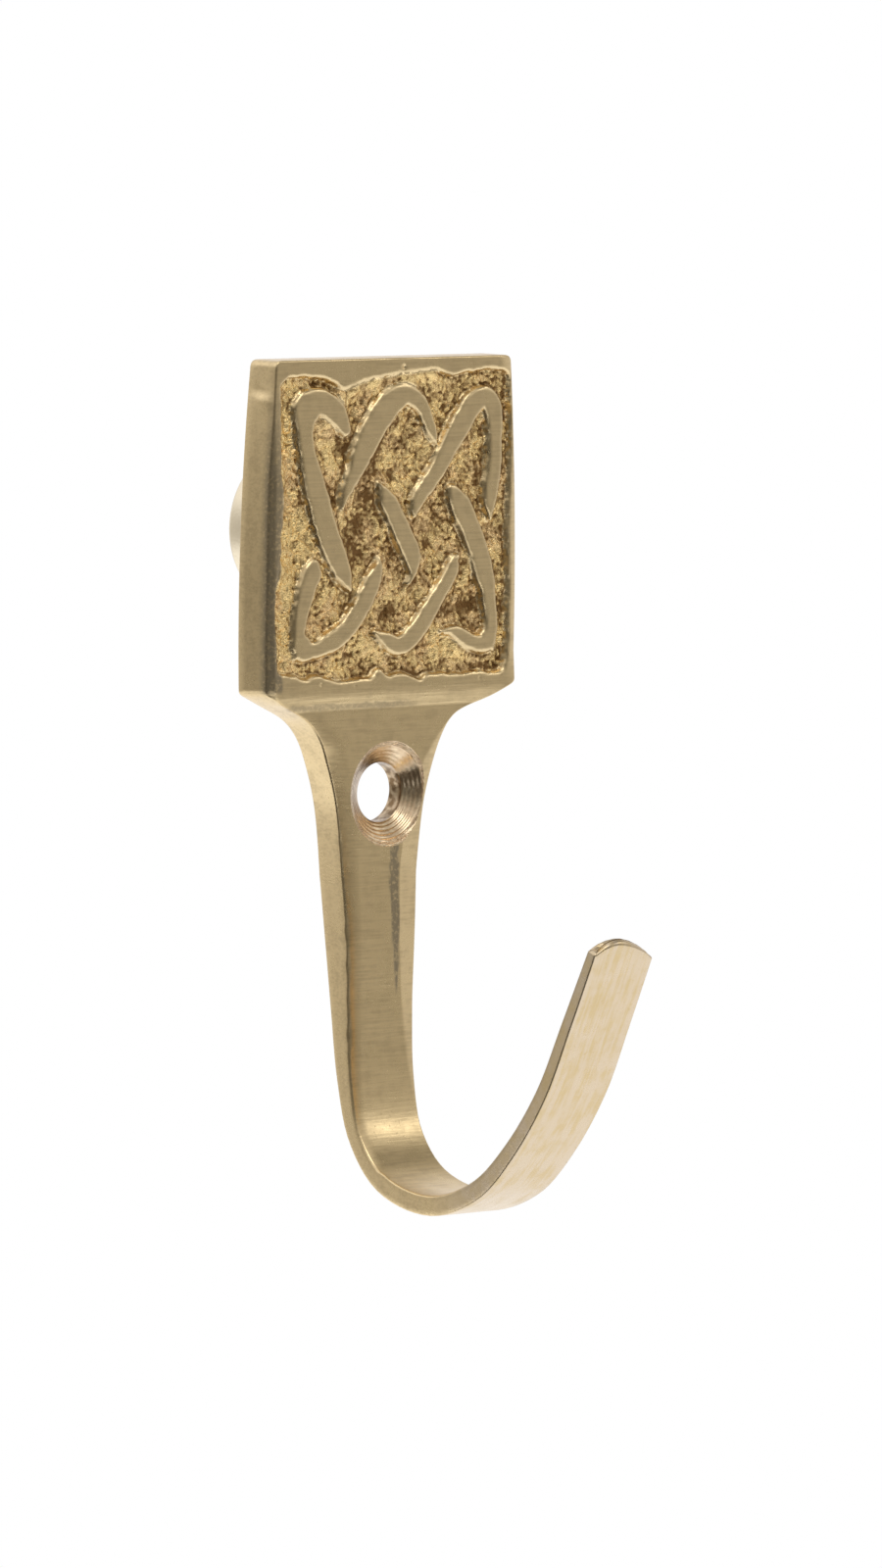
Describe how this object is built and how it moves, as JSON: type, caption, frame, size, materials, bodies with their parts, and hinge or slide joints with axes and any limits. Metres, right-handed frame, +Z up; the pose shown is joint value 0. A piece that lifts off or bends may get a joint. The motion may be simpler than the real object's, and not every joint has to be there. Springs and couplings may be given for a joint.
{
  "type": "wall hook",
  "caption": "Cast brass wall hook: a square plate with a raised knot pattern, a neck with a countersunk screw hole and a flat shank that curves forward into an open hook.",
  "frame": {"origin": "axis of the screw hole on the plane of the wall, which is the flat back of the plate and neck", "axes": "+Z up towards the plate, -Y forward out of the wall, X across the hook"},
  "size_m": [0.0292, 0.044, 0.0715],
  "materials": {
    "cast_brass": "cast brass, ground bright on the raised faces and left grainy in the sunk ground"
  },
  "bodies": {
    "root": {"wall_hook": "cast_brass"}
  },
  "joints": []
}
